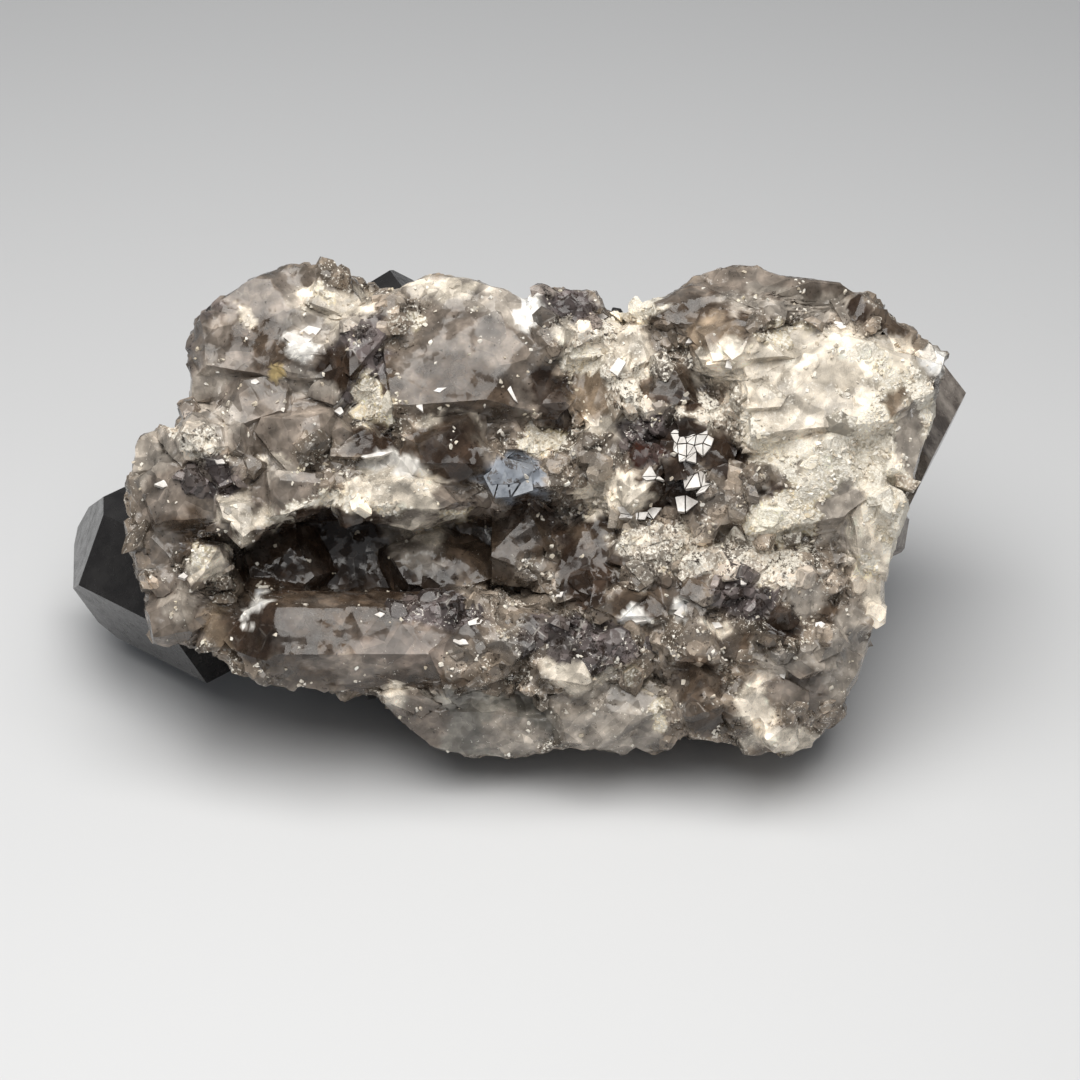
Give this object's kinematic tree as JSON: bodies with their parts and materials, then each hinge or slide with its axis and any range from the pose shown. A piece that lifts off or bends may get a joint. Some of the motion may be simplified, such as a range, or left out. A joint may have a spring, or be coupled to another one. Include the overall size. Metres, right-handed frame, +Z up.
{
  "type": "smoky quartz cluster",
  "caption": "Smoky quartz cluster: a rough broken slab of grey-brown and white crusted quartz leaning back, with black pointed crystals grown from its far side.",
  "frame": {"origin": "middle of the bounding box, on the ground that the cluster stands on", "axes": "+X across the broken face from left to right, +Y away from the side that the picture shows, +Z up"},
  "size_m": [0.1888, 0.1026, 0.0934],
  "materials": {
    "broken_smoky_quartz": "glassy broken faces under a dull pale crust",
    "black_smoky_quartz": "smooth glassy crystal faces",
    "grey_smoky_quartz": "smooth glassy crystal faces, a little see-through"
  },
  "bodies": {
    "root": {"matrix": "broken_smoky_quartz", "left_crystals": "black_smoky_quartz", "top_crystal": "black_smoky_quartz", "right_crystals": "grey_smoky_quartz", "rear_crystals": "black_smoky_quartz"}
  },
  "joints": []
}
